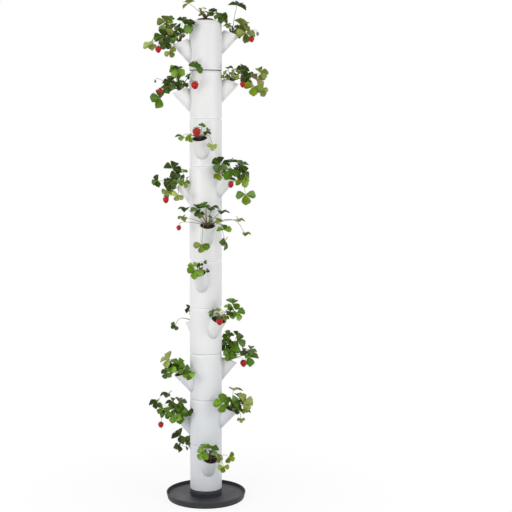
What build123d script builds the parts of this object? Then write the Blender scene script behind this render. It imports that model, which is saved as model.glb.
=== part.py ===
"""Standing strawberry tower: ten white planting tiers that turn on each other above a round tray.

Millimetres. The origin is the middle of the tray's underside, Z is up and the photo was taken from -Y.
"""

import os
from math import cos, hypot, radians, sin, tan

from build123d import *

# Tiers
tier_pitch = 200.0
tube_radius = 69.0
wall = 3.0
shoulder_round = 20.0
foot_round = 2.5
seat_rise = 7.0
opening_radius = 42.0
spigot_play = 0.5
spigot_length = 24.0
drain_hole_radius = 5.0
drain_circle_radius = 22.0
drain_hole_count = 6

# Pockets: two on each tier, the second one opposite the first and lower
lip_reach = 142.0
lip_drop = 57.0
pocket_stagger = 38.0
back_gap = 8.0
mouth_tilt = 22.0
under_slope = 46.5
back_slope = 52.5
pocket_bite = 14.0
pocket_blend = 2.0

# Soil
soil_gap = 0.3
soil_drop = 4.0
soil_clear = 4.0
mound_rise = 9.0

# Tray
tray_radius = 172.5
tray_height = 28.0
tray_floor = 15.0
tray_sheet = 4.0
tray_flare = 6.0
rim_width = 5.0
foot_bevel = 2.0
collar_height = 29.0
slot_width = 12.0
slot_height = 7.0
slot_count = 2

# Plants
crown_radius = 7.0
crown_height = 9.0
crown_sink = 2.0
stem_radius = 1.5
leaf_thickness = 1.0
leaflet_spread = 82.0
calyx_thickness = 1.6
fruit_ratio = 1.02
fruit_sides = 8
stalk_hook = 8.0
stalk_rise = 14.0
rising_leaf = 20.0
bend_share = 0.7
bend_rise = 0.22
bend_lift = 4.0
small_leaf = 36.0

# Direction of the higher pocket of each tier, bottom tier first, in degrees from the front to the right
tier_turns = (11, 77, 112, 31, -15, 5, 62, 168, 98, 102)

# Each leaf: offset of its middle from the crown (right, back, up), length of a leaflet, the direction
# its face looks to (degrees to the right of the front, degrees up) and the heading of its middle
# leaflet seen from the front (0 right, 90 up). Each fruit: offset of its centre and its width.
PLANTS = {
    "01_high": (
        [(-23, -12, 55, 30, -10, 45, 110), (-29, -24, 36, 34, -20, 35, 230), (7, -14, 48, 32, 20, 50, 30),
         (34, -24, 15, 22, 15, 55, 0), (80, -6, 14, 28, 10, 20, 330), (56, -29, -22, 26, 0, 10, 270)],
        []),
    "01_low": (
        [(-92, -26, 96, 44, -10, 55, 200), (-57, -26, 69, 28, 0, 40, 20), (-104, -26, 53, 36, 70, 10, 255),
         (30, 48, 36, 36, 180, 45, 0), (-10, 52, 28, 30, 195, 45, 180)],
        []),
    "02_high": (
        [(-31, -75, 30, 38, 0, 10, 175), (9, -30, 38, 34, 15, 30, 60), (57, -10, 33, 46, 5, 30, 20),
         (13, 5, 91, 42, 0, 85, 0), (29, -34, 8, 24, 10, 40, 270), (44, -14, 0, 46, 20, 70, 325),
         (46, -44, -32, 18, 0, 40, 270), (40, 42, 40, 38, 150, 40, 20), (25, 50, 12, 32, 160, 30, 320)],
        []),
    "02_low": (
        [(-59, -10, 99, 36, -10, 80, 180), (-105, -25, 62, 38, -10, 62, 185), (-80, -45, 44, 32, 0, 30, 240),
         (-12, -35, 66, 36, 10, 60, 20), (-12, -70, 26, 46, 0, 28, 10), (-32, -76, 20, 36, -10, 25, 260),
         (31, -87, 41, 24, 10, 30, 280), (-69, -60, 22, 26, 0, 35, 220), (-40, 42, 50, 38, 200, 40, 160),
         (-15, 52, 24, 34, 190, 30, 250)],
        [(-89, -50, -31, 24)]),
    "03_high": (
        [(-3, 74, 98, 28, 0, 30, 100), (33, 41, 103, 28, 20, 40, 20), (3, 63, 88, 30, -10, 35, 190),
         (35, 21, 86, 42, 15, 40, 330), (-16, 31, 65, 32, -5, 15, 230), (12, -31, 52, 38, 0, 35, 280),
         (-1, -81, 44, 30, -15, 30, 250), (94, -1, 48, 30, 10, 65, 0), (89, -16, 18, 42, 5, 45, 0),
         (60, 44, 36, 36, 140, 40, 0)],
        [(63, -31, -7, 29)]),
    "03_low": (
        [(-56, -4, 63, 42, -15, 40, 180), (-47, -19, 36, 34, -10, 28, 230), (-17, -29, 48, 32, 0, 45, 60),
         (9, -49, 28, 30, 10, 40, 300), (-66, -29, 8, 28, -15, 20, 240), (29, -71, 12, 28, 5, 10, 285),
         (-50, 42, 35, 36, 220, 40, 170), (-18, 46, 20, 32, 200, 35, 150)],
        []),
    "04_high": (
        [(59, -29, 75, 34, 10, 40, 60), (52, -32, 42, 22, -10, 25, 200), (77, -12, 36, 36, 10, 18, 290),
         (-23, -29, 38, 24, -15, 50, 150), (24, -12, 18, 24, 10, 60, 0), (66, 41, 35, 34, 100, 40, 20)],
        [(4, -57, 3, 28)]),
    "04_low": (
        [(-20, -38, 58, 28, 70, 10, 90), (-79, -30, -10, 22, 0, 15, 215), (35, 50, 45, 34, 175, 40, 40),
         (20, 55, 20, 32, 180, 35, 270), (47, 48, 61, 32, 170, 50, 60)],
        []),
    "05_high": (
        [(-12, -57, 19, 36, 0, 15, 250), (-22, -45, 32, 26, -10, 20, 140), (6, -12, 36, 16, -10, 40, 120),
         (23, -7, 50, 16, 0, 70, 60), (36, -30, 18, 12, 20, 40, 340)],
        []),
    "05_low": (
        [(-50, 25, 55, 36, 190, 40, 150), (5, 30, 62, 36, 170, 40, 60), (-10, 60, 30, 38, 180, 30, 270),
         (-66, 35, 12, 34, 200, 25, 200), (12, 48, 10, 30, 165, 25, 300), (-25, 20, 82, 30, 180, 50, 90)],
        []),
    "06_high": (
        [(-11, -11, 86, 24, 0, 45, 90), (-40, -15, 74, 32, -10, 40, 110), (-32, -28, 56, 24, -10, 45, 200),
         (-90, 5, 76, 34, -10, 78, 185), (15, -11, 80, 34, 10, 75, 10), (58, -1, 64, 36, 10, 75, 350),
         (-97, -8, 38, 28, -20, 45, 220), (40, -43, 28, 22, 10, 60, 0), (128, -8, 30, 32, 10, 60, 10),
         (69, -33, -12, 32, 5, 30, 90), (155, 2, -28, 28, 10, 68, 0), (72, -43, -54, 42, 75, 5, 265),
         (-23, -51, -71, 36, 0, 10, 265)],
        [(-120, 12, -9, 20)]),
    "06_low": (
        [(42, 25, 52, 36, 170, 40, 30), (-22, 32, 60, 34, 190, 40, 120), (4, 58, 26, 42, 180, 30, 265),
         (35, 42, 24, 32, 170, 25, 330), (-30, 50, 8, 32, 195, 25, 220)],
        [(24, 66, -32, 26)]),
    "07_high": (
        [(-36, -59, 60, 36, -5, 25, 150), (8, -29, 66, 34, 0, 50, 90), (52, -4, 55, 40, 20, 45, 20),
         (4, -54, 35, 44, 5, 30, 250), (-38, -64, 18, 28, -15, 35, 200), (62, -14, 20, 38, 25, 28, 350),
         (59, -34, -9, 34, 15, 18, 300), (73, -24, -68, 44, 0, 8, 270), (50, 40, 40, 34, 120, 40, 30)],
        [(11, -61, -27, 25)]),
    "07_low": (
        [(-46, -36, 74, 40, -5, 25, 80), (2, -36, 61, 18, 0, 40, 90), (-109, -21, 22, 30, -10, 25, 190),
         (-56, -61, 8, 30, 0, 12, 250), (8, -91, 17, 24, 5, 22, 280), (-18, -146, -32, 28, -5, 12, 240),
         (-66, -56, -22, 28, -5, 10, 260), (-30, 42, 45, 38, 200, 40, 150), (-55, 30, 14, 34, 210, 25, 210)],
        [(-72, -78, -58, 27)]),
    "08_high": (
        [(-40, 30, 50, 34, 190, 45, 150), (8, 30, 58, 34, 165, 40, 60), (-4, 56, 30, 40, 180, 30, 275),
         (-58, 36, 14, 32, 200, 25, 200), (15, 50, 14, 32, 160, 25, 300)],
        [(-22, 60, -20, 25)]),
    "08_low": (
        [(-37, -33, 8, 26, -20, 35, 200), (-70, -13, 12, 32, -10, 78, 170), (28, -28, 32, 22, 10, 40, 330),
         (9, -3, 54, 16, 0, 35, 80), (53, -48, -24, 24, 15, 10, 270)],
        [(-12, -40, 28, 34)]),
    "09_high": (
        [(47, -5, 55, 32, 0, 45, 80), (126, 5, 41, 36, 10, 40, 20), (109, -15, 11, 36, 0, 20, 40),
         (97, -30, -17, 42, 0, 12, 260), (128, -10, -32, 30, -15, 10, 10), (-8, -44, 23, 20, -20, 55, 170),
         (-14, -52, 60, 24, -10, 80, 30), (45, 40, 35, 38, 160, 40, 20), (70, 34, 8, 34, 140, 30, 320)],
        [(49, -50, -12, 24)]),
    "09_low": (
        [(-2, -20, 99, 36, 0, 82, 180), (-10, -25, 89, 38, -10, 25, 250), (68, -80, 94, 34, 10, 35, 60),
         (-24, -30, 33, 34, 0, 25, 260), (-17, -15, 56, 26, 0, 40, 120), (15, -54, 26, 24, 10, 50, 330),
         (-82, -5, -32, 44, 10, 18, 175), (-45, 40, 40, 36, 200, 40, 160), (-62, 34, 10, 32, 215, 30, 220)],
        [(65, -88, 19, 30), (-82, -20, -2, 22), (-104, 5, 39, 10)]),
    "10_high": (
        [(26, -18, 119, 36, 10, 65, 40), (48, -18, 38, 40, 20, 30, 50), (63, -28, 5, 42, 5, 8, 270),
         (-8, -56, 34, 24, -15, 55, 160), (40, 40, 45, 38, 160, 45, 40), (20, 48, 14, 32, 170, 30, 300)],
        [(87, -48, -24, 24), (113, -20, 0, 13)]),
    "10_low": (
        [(-61, 14, 88, 40, -10, 30, 100), (-57, -28, 51, 34, 5, 25, 60), (22, -58, 68, 46, 0, 35, 20),
         (-70, 8, 26, 42, -10, 15, 180), (-43, -27, 19, 34, 10, 35, 300), (-114, 3, -7, 44, -20, 50, 190),
         (-58, -36, -6, 30, -5, 15, 230), (-40, -58, -40, 28, 0, 10, 300), (-35, 44, 60, 38, 200, 45, 150),
         (-60, 42, 25, 34, 215, 30, 200)],
        [(-87, -62, -34, 27)]),
    "10_top": (
        [(-69, -10, 61, 32, -10, 50, 120), (-13, 0, 14, 18, 0, 20, 90), (60, -15, 10, 36, 15, 50, 20)],
        []),
}

# Derived tower sizes
top_z = tier_pitch + seat_rise
spigot_radius = opening_radius - spigot_play
spigot_foot = seat_rise - spigot_length
shoulder_z = top_z - shoulder_round
rim_radius = tube_radius - shoulder_round
seam_z = tray_floor + collar_height

# Derived pocket sizes, in the plane of the tower's axis (distance from the axis, height)
lip = Vector(lip_reach, 0, tier_pitch - lip_drop)
mouth_run = Vector(-cos(radians(mouth_tilt)), 0, sin(radians(mouth_tilt)))
mouth_length = (lip_reach - tube_radius - back_gap) / cos(radians(mouth_tilt))
mouth_back = lip + mouth_run * mouth_length
mouth_middle = lip + mouth_run * (mouth_length / 2)
mouth_normal = Vector(sin(radians(mouth_tilt)), 0, cos(radians(mouth_tilt)))
cone_lean = radians((under_slope + back_slope) / 2)
cone_half = radians((back_slope - under_slope) / 2)
cone_dir = Vector(cos(cone_lean), 0, sin(cone_lean))
under_rate = tan(radians(under_slope))
back_rate = tan(radians(back_slope))
apex_x = (lip.Z - mouth_back.Z + back_rate * mouth_back.X - under_rate * lip.X) / (back_rate - under_rate)
cone_apex = Vector(apex_x, 0, lip.Z - (lip.X - apex_x) * under_rate)


def axis_shift(height, turn):
    """Location of a tier or of its opposite, lower pocket."""
    return Location((0, 0, height), (0, 0, turn))


def pocket_cone(inset, over=30.0):
    """The spout's cone, made smaller by inset on all sides, from inside the tube to past the mouth."""
    apex = cone_apex + cone_dir * (inset / sin(cone_half))
    start = (tube_radius - pocket_bite - apex.X) / (cone_dir.X + tan(cone_half) * cone_dir.Z)
    far = (lip - apex).dot(cone_dir) + over
    side = Vector(-cone_dir.Z, 0, cone_dir.X)
    near_point = apex + cone_dir * start
    far_point = apex + cone_dir * far
    near_side = near_point + side * (start * tan(cone_half))
    far_side = far_point + side * (far * tan(cone_half))
    with BuildPart() as cone:
        with BuildSketch(Plane.XZ):
            with BuildLine():
                Polyline(*[(p.X, p.Z) for p in (near_point, near_side, far_side, far_point)], close=True)
            make_face()
        revolve(axis=Axis(tuple(apex), tuple(cone_dir)))
    return cone.part


def pocket_plug(inset, drop):
    """The spout's cone cut off level, drop below the mouth."""
    with BuildPart() as plug:
        add(pocket_cone(inset))
        split(bisect_by=Plane(lip - mouth_normal * drop, z_dir=mouth_normal), keep=Keep.BOTTOM)
    return plug.part


def both_pockets(solid):
    """A pocket solid on the high side and again on the low side of a tier."""
    return [solid, solid.moved(axis_shift(-pocket_stagger, 180))]


def shoulder_profile(base_z, radius, inset):
    """Side wall, rounded shoulder and top ring, drawn from base_z up to the axis of the ring."""
    shoulder_top = base_z + shoulder_round
    centre = (radius - shoulder_round, base_z)
    CenterArc(centre, shoulder_round - inset, 0, 90)
    return (radius - shoulder_round, shoulder_top - inset)


def build_tier():
    """One planting tier, its higher pocket towards +X and its seam at height 0."""
    with BuildPart() as tier:
        with BuildSketch(Plane.XZ):
            with BuildLine():
                Polyline((0, spigot_foot), (spigot_radius, spigot_foot), (spigot_radius, seat_rise),
                         (tube_radius - wall, seat_rise), (tube_radius - wall, 0),
                         (tube_radius - foot_round, 0))
                CenterArc((tube_radius - foot_round, foot_round), foot_round, -90, 90)
                Line((tube_radius, foot_round), (tube_radius, shoulder_z))
                ring = shoulder_profile(shoulder_z, tube_radius, 0)
                Polyline(ring, (0, top_z), (0, spigot_foot))
            make_face()
        revolve(axis=Axis.Z)
        add(both_pockets(pocket_plug(0, 0)))
        fillet(tier.edges().filter_by(GeomType.BSPLINE), pocket_blend)
        with BuildSketch(Plane.XZ):
            with BuildLine():
                inner = tube_radius - wall
                Polyline((0, spigot_foot + wall), (spigot_radius - wall, spigot_foot + wall),
                         (spigot_radius - wall, seat_rise + wall), (inner, seat_rise + wall),
                         (inner, shoulder_z))
                ring = shoulder_profile(shoulder_z, tube_radius, wall)
                Polyline(ring, (opening_radius, top_z - wall), (opening_radius, top_z), (0, top_z),
                         (0, spigot_foot + wall))
            make_face()
        revolve(axis=Axis.Z, mode=Mode.SUBTRACT)
        add(both_pockets(pocket_cone(wall)), mode=Mode.SUBTRACT)
        with BuildSketch(Plane.XY.offset(spigot_foot)):
            Circle(drain_hole_radius)
            with PolarLocations(drain_circle_radius, drain_hole_count):
                Circle(drain_hole_radius)
        extrude(amount=wall, mode=Mode.SUBTRACT)
    return tier.part


def build_soil(open_top):
    """The soil of one tier, filled from the spigot floor to the pocket mouths."""
    inner = tube_radius - wall - soil_gap
    neck = spigot_radius - wall - soil_gap
    floor_z = spigot_foot + wall + soil_gap
    step_z = seat_rise + wall + soil_gap
    fill_z = top_z - spigot_length - soil_clear
    mouth = opening_radius - soil_gap
    with BuildPart() as soil:
        with BuildSketch(Plane.XZ):
            with BuildLine():
                Polyline((0, floor_z), (neck, floor_z), (neck, step_z), (inner, step_z), (inner, fill_z))
                if open_top:
                    Polyline((inner, fill_z), (mouth, fill_z), (mouth, top_z - 1),
                             (mouth * 0.7, top_z + mound_rise * 0.75), (mouth * 0.35, top_z + mound_rise),
                             (0, top_z + mound_rise), (0, floor_z))
                else:
                    Polyline((inner, fill_z), (0, fill_z), (0, floor_z))
            make_face()
        revolve(axis=Axis.Z)
        add(both_pockets(pocket_plug(wall + soil_gap, soil_drop)))
    return soil.part


def build_tray():
    """The tray on its foot ring, with a collar shaped on top like a tier to carry the first tier."""
    collar_top = seam_z + seat_rise
    collar_shoulder = collar_top - shoulder_round
    rim_half = rim_width / 2
    foot = tray_radius - tray_flare
    under_z = tray_floor - tray_sheet
    inner = tube_radius - wall
    with BuildPart() as tray:
        with BuildSketch(Plane.XZ):
            with BuildLine():
                Polyline((0, under_z), (foot - rim_width, under_z), (foot - rim_width, 0),
                         (foot - foot_bevel, 0), (foot, foot_bevel), (tray_radius, tray_height - rim_half))
                CenterArc((tray_radius - rim_half, tray_height - rim_half), rim_half, 0, 180)
                Polyline((tray_radius - rim_width, tray_height - rim_half),
                         (foot - rim_width, tray_floor), (tube_radius, tray_floor),
                         (tube_radius, collar_shoulder))
                ring = shoulder_profile(collar_shoulder, tube_radius, 0)
                inner_ring = shoulder_profile(collar_shoulder, tube_radius, wall)
                Polyline(ring, (opening_radius, collar_top), (opening_radius, collar_top - wall), inner_ring)
                Polyline((inner, collar_shoulder), (inner, tray_floor), (0, tray_floor), (0, under_z))
            make_face()
        revolve(axis=Axis.Z)
        with BuildSketch(Plane.XY.offset(tray_floor)):
            with PolarLocations(tube_radius - wall / 2, slot_count):
                Rectangle(wall * 3, slot_width)
        extrude(amount=slot_height, mode=Mode.SUBTRACT)
    return tray.part


def direction(azimuth, elevation):
    """Unit vector from degrees to the right of the front and degrees up."""
    level = cos(radians(elevation))
    turn = radians(azimuth)
    return Vector(sin(turn) * level, -cos(turn) * level, sin(radians(elevation)))


def turned(along, across, angle):
    """A leaf outline point turned about the leaf's middle."""
    c = cos(radians(angle))
    s = sin(radians(angle))
    return (along * c - across * s, along * s + across * c)


def leaf_outline(length):
    """Outline of a leaf of three leaflets, its stalk coming from -X."""
    leaflet = [(0.5, -0.41), (0.92, -0.24), (0.92, 0.24), (0.5, 0.41)]
    if length < small_leaf:
        leaflet = [(0.58, -0.46), (1.0, 0.0), (0.58, 0.46)]
    points = [(-0.04 * length, -0.05 * length)]
    for heading in (-leaflet_spread, 0, leaflet_spread):
        points += [turned(a * length, b * length, heading) for a, b in leaflet]
        if heading < leaflet_spread:
            points.append(turned(0.06 * length, 0, heading + leaflet_spread / 2))
    points.append((-0.04 * length, 0.05 * length))
    return points


def stem(points):
    """The straight lengths of a three-sided stem through the points."""
    lengths = []
    for start, end in zip(points, points[1:]):
        run = end - start
        back = run.normalized() * (stem_radius / 2)
        with BuildSketch(Plane(start - back, z_dir=run)) as section:
            RegularPolygon(stem_radius, 3)
        lengths.append(extrude(section.sketch, amount=(run + back).length, mode=Mode.PRIVATE))
    return lengths


def leaf_stem(start, offset, end):
    """Points of a leaf's stalk: straight when it rises, bent past the pocket's rim when it hangs."""
    if offset.Z > rising_leaf:
        return [start, end]
    lift = bend_lift + bend_rise * hypot(offset.X, offset.Y)
    return [start, start + Vector(offset.X * bend_share, offset.Y * bend_share, lift), end]


def flat_piece(plane, points, thickness):
    """A flat piece cut to an outline."""
    with BuildSketch(plane) as outline:
        with BuildLine():
            Polyline(*points, close=True)
        make_face()
    return extrude(outline.sketch, amount=thickness, mode=Mode.PRIVATE)


def ring_points(radius, count):
    """Corners of a regular outline."""
    return [turned(radius, 0, 360 * step / count) for step in range(count)]


def build_plant(seat, seat_normal, leaves, fruits):
    """A crown standing on the soil with its leaves, and the stalks of its fruit."""
    crown_plane = Plane(seat, x_dir=(1, 0, 0), z_dir=seat_normal)
    crown_top = seat + seat_normal * (crown_height - crown_sink)
    pieces = []
    for right, back, up, length, azimuth, elevation, heading in leaves:
        offset = Vector(right, back, up)
        start = crown_top + Vector(right, back, 0).normalized() * (crown_radius * 0.6)
        face = direction(azimuth, elevation)
        aim = Vector(cos(radians(heading)), 0, sin(radians(heading)))
        aim = aim - face * aim.dot(face)
        leaf_plane = Plane(seat + offset, x_dir=aim, z_dir=face)
        pieces.append(flat_piece(leaf_plane, leaf_outline(length), leaf_thickness))
        pieces += stem(leaf_stem(start, offset, seat + offset + face * (leaf_thickness * 0.6)))
    for right, back, up, width in fruits:
        start = crown_top + Vector(right, back, 0).normalized() * (crown_radius * 0.6)
        top = seat + Vector(right, back, up + width * fruit_ratio / 2)
        level = Vector(right, back, 0)
        bend = seat + level * (1 - stalk_hook / level.length)
        bend += Vector(0, 0, max(top.Z - seat.Z, crown_height) + stalk_rise)
        pieces.append(flat_piece(Plane(top), ring_points(width * 0.42, 6), calyx_thickness))
        pieces += stem([start, bend, top + Vector(0, 0, calyx_thickness * 0.75)])
    with BuildPart() as plant:
        add(flat_piece(crown_plane, ring_points(crown_radius, 6), crown_height))
        add(pieces)
    return plant.part


def build_fruit(seat, fruits):
    """The strawberries of one plant, each hanging below its calyx."""
    shape = [(0.36, 0.5), (0.5, 0.18), (0.43, -0.18), (0.16, -0.5)]
    with BuildPart() as group:
        for right, back, up, width in fruits:
            centre = seat + Vector(right, back, up)
            sections = []
            for radius, height in shape:
                with BuildSketch(Plane(centre + Vector(0, 0, height * width * fruit_ratio))) as section:
                    RegularPolygon(radius * width, fruit_sides)
                sections.append(section.sketch)
            loft(sections, ruled=True)
    return group.part


def plant_seat(name):
    """Crown point and soil direction of a plant, from the tier number and the place in its name."""
    number, place = name.split("_")
    base_z = seam_z + (int(number) - 1) * tier_pitch
    if place == "top":
        return Vector(0, 0, base_z + top_z + mound_rise), Vector(0, 0, 1)
    turn = tier_turns[int(number) - 1]
    drop = 0.0
    if place == "low":
        turn += 180
        drop = pocket_stagger
    spin = Location((0, 0, base_z - drop), (0, 0, turn - 90))
    middle = mouth_middle - mouth_normal * soil_drop
    seat = (spin * Location(tuple(middle))).position
    tip = (spin * Location(tuple(middle + mouth_normal))).position
    return seat, tip - seat


def save(solid, name):
    """Label a piece and write its STEP file."""
    solid.label = name
    export_step(solid, f"parts/{name}.step")


os.makedirs("parts", exist_ok=True)

save(build_tray(), "base_tray")
tier = build_tier()
inner_soil = build_soil(False)
top_soil = build_soil(True)
for index, turn in enumerate(tier_turns):
    place = axis_shift(seam_z + index * tier_pitch, turn - 90)
    last = index == len(tier_turns) - 1
    save(tier.moved(place), f"tier_{index + 1:02d}")
    save((top_soil if last else inner_soil).moved(place), f"soil_{index + 1:02d}")

for name, (leaves, fruits) in PLANTS.items():
    seat, normal = plant_seat(name)
    save(build_plant(seat, normal, leaves, fruits), f"plant_{name}")
    if fruits:
        save(build_fruit(seat, fruits), f"fruit_{name}")
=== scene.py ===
import random
from math import atan2, ceil, cos, degrees, hypot, pi, radians, sin, sqrt, tan

import bpy
from mathutils import Matrix, Vector, noise


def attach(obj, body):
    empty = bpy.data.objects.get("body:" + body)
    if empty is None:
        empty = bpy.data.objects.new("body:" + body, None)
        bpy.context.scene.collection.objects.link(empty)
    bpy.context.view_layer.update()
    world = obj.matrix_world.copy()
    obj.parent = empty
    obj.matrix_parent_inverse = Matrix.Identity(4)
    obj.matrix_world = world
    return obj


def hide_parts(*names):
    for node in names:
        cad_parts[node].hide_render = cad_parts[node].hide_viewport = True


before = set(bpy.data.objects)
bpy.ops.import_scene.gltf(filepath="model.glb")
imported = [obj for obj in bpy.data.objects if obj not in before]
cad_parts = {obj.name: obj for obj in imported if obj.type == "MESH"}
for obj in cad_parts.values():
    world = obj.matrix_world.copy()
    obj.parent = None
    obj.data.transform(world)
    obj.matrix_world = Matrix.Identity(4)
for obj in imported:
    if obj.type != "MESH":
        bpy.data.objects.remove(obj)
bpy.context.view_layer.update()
scene = bpy.context.scene

# Sizes below are in millimetres in the frame of the CAD model; meshes are made in metres
MM = 0.001

# Tower, as in the CAD model
tier_pitch = 200.0
seam_z = 44.0
tube_radius = 69.0
wall = 3.0
seat_rise = 7.0
opening_radius = 42.0
lip_reach = 142.0
lip_drop = 57.0
pocket_stagger = 38.0
back_gap = 8.0
mouth_tilt = 22.0
under_slope = 46.5
back_slope = 52.5
soil_gap = 0.3
soil_drop = 4.0
mound_rise = 9.0
tier_turns = (11, 77, 112, 31, -15, 5, 62, 168, 98, 102)

# Plants, as in the CAD model
crown_radius = 7.0
crown_height = 9.0
leaflet_spread = 82.0
fruit_ratio = 1.02
calyx_thickness = 1.6
stalk_hook = 8.0
stalk_rise = 14.0
rising_leaf = 20.0

# Leaflets, in shares of their length or millimetres
leaf_skin = 0.5
leaflet_columns = (-1.0, -0.5, 0.0, 0.5, 1.0)
large_leaf = 26.0
veins_large = 8
veins_small = 6
fold_range = (0.25, 0.75)
droop_range = (0.04, 0.26)
sway_most = 0.08
breadth_range = (0.92, 1.08)
tooth_from = 0.18
tooth_run = 0.2
tooth_out = 0.13
tooth_forward = 0.03
rim_forward = 0.13
rim_forward_end = 0.92
tip_forward = 0.02
pleat = 0.014
ripple = 0.02
ripple_rate = 6
# Painted light between the two halves of a leaflet; a leaflet also gets lighter towards its tip
painted_half_contrast = 0.22
tip_contrast = 0.3
fleck_range = (0.88, 1.12)
underside_share = 0.55

# Stalks and how the leaflets sit on them, in millimetres, degrees and shares
stalk_base = 1.9
stalk_tip = 1.0
stalk_sink = 2.0
stalk_out = 0.6
stalk_steps = 10
corner_from = 0.4
corner_to = 0.6
taper_rate = 1.6
redden_rate = 1.8
arch_share = 0.05
arch_lift = 1.2
over_share = 0.7
over_lift = 4.0
over_slope = 0.22
neck_share = 0.07
neck_overlap = 0.6
neck_radii = (0.9, 0.7)
leaflet_share = 0.95
spread_jitter = 7.0
tilt_range = (-4.0, 14.0)
roll_jitter = 24.0
level_leaf = 58.0
level_roll = 0.35
tint_range = (0.65, 1.35)
# Painted sunlight: the share of leaflets painted lighter, how much lighter, and how far towards the sunlit
# colour
painted_sun_share = 0.3
painted_sun_gain = 1.35
painted_sun_mix = (0.15, 0.4)

# Leaves between the large ones
faces_front = -0.25
young_count = 4
young_front = 2
young_out = (8, 20)
young_up = (22, 44)
young_length = (10, 15)
young_turn = 50.0
young_lift = (20, 70)
second_from = 24.0
second_reach = (0.5, 0.78)
second_jitter = 9.0
second_rise = (2, 14)
second_lowest = 16.0
second_size = (0.42, 0.62)
second_turn = 40.0
second_tilt = (0.5, 1.3)
second_clear = 4.0
open_soil = 45.0

# Fruit, flower, crown scales and soil
seed_pitch = 3.3
seed_size = 0.028
# Painted light and shade on the berries: lighter at the shoulder, darker towards the tip
painted_top_light = 1.4
painted_tip_shade = 0.75
sepal_count = 9
petal_count = 5
scale_count = 7
scale_skin = 0.5
petal_skin = 0.4
fruit_stalk = (1.1, 0.9)
flower_stalk = (1.0, 0.8)
crust_rise = 2.6
crust_edge = 0.97
crust_skirt = 1.5
crust_sides = 36
clod_count = 42

# Each bed of soil and each plant draws its own random numbers
soil_seed = 500
plant_seed = 100

# Tone of the tower: painted shade, cooler and darker, at its foot; painted shade beside the pockets; dust
# above the seams; a painted shadow along one seam, as if it stood open; painted highlights at the seams
painted_shade_top = 700.0
painted_shade_full = 350.0
painted_shade_share = 0.5
painted_crease_width = 18.0
painted_crease_share = 0.36
dust_share = 0.12
shadowed_seam = 9
seam_shadow_half = 3.5
seam_shadow_share = 0.8
painted_highlight_half = 6.0

# Leaf tints: fresh, middle, dark, olive, yellowish, pale and dry
TINTS = {
    "b": (0.150, 0.290, 0.014),
    "m": (0.072, 0.162, 0.008),
    "d": (0.019, 0.053, 0.001),
    "o": (0.200, 0.240, 0.036),
    "y": (0.210, 0.300, 0.008),
    "p": (0.350, 0.410, 0.110),
    "n": (0.270, 0.210, 0.080),
}
UNDERSIDE = (0.180, 0.220, 0.060)
# The colour of painted sunlight on leaflets
SUNLIT = (0.270, 0.360, 0.170)
STALK = (0.260, 0.240, 0.090)
STALK_RED = (0.200, 0.100, 0.050)
CROWN = (0.110, 0.075, 0.030)
SCALE = (0.190, 0.110, 0.050)
CALYX = (0.070, 0.170, 0.020)
BERRY = {"r": (0.440, 0.003, 0.008), "g": (0.230, 0.300, 0.080), "n": (0.210, 0.140, 0.050)}
BERRY_NECK = {"r": (0.480, 0.012, 0.012), "g": (0.330, 0.380, 0.150), "n": (0.260, 0.220, 0.090)}
SEED = (0.360, 0.130, 0.030)
PETAL = (0.780, 0.740, 0.560)
FLOWER_EYE = (0.560, 0.400, 0.050)

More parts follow.
